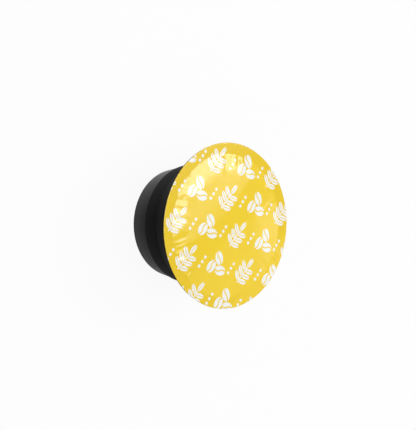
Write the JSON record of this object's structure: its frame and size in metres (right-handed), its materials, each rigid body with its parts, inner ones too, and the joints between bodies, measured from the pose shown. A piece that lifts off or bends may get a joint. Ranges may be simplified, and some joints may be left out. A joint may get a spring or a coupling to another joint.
{
  "type": "coffee pod",
  "caption": "Squat coffee pod: a tapered dark plastic cup with a wide flange, closed by a puffed yellow printed film sealed to the flange.",
  "frame": {"origin": "centre of the ring that the pod stands on, at its closed end", "axes": "+Z is the pod's axis, up from the closed end to the lid; -Y is towards the viewer's side of the picture and -X is upwards in it"},
  "size_m": [0.044, 0.044, 0.0227],
  "materials": {
    "cup_plastic": "moulded, fine satin, near black",
    "lid_film": null
  },
  "bodies": {
    "root": {"cup": "cup_plastic", "lid_film": "lid_film"}
  },
  "joints": []
}
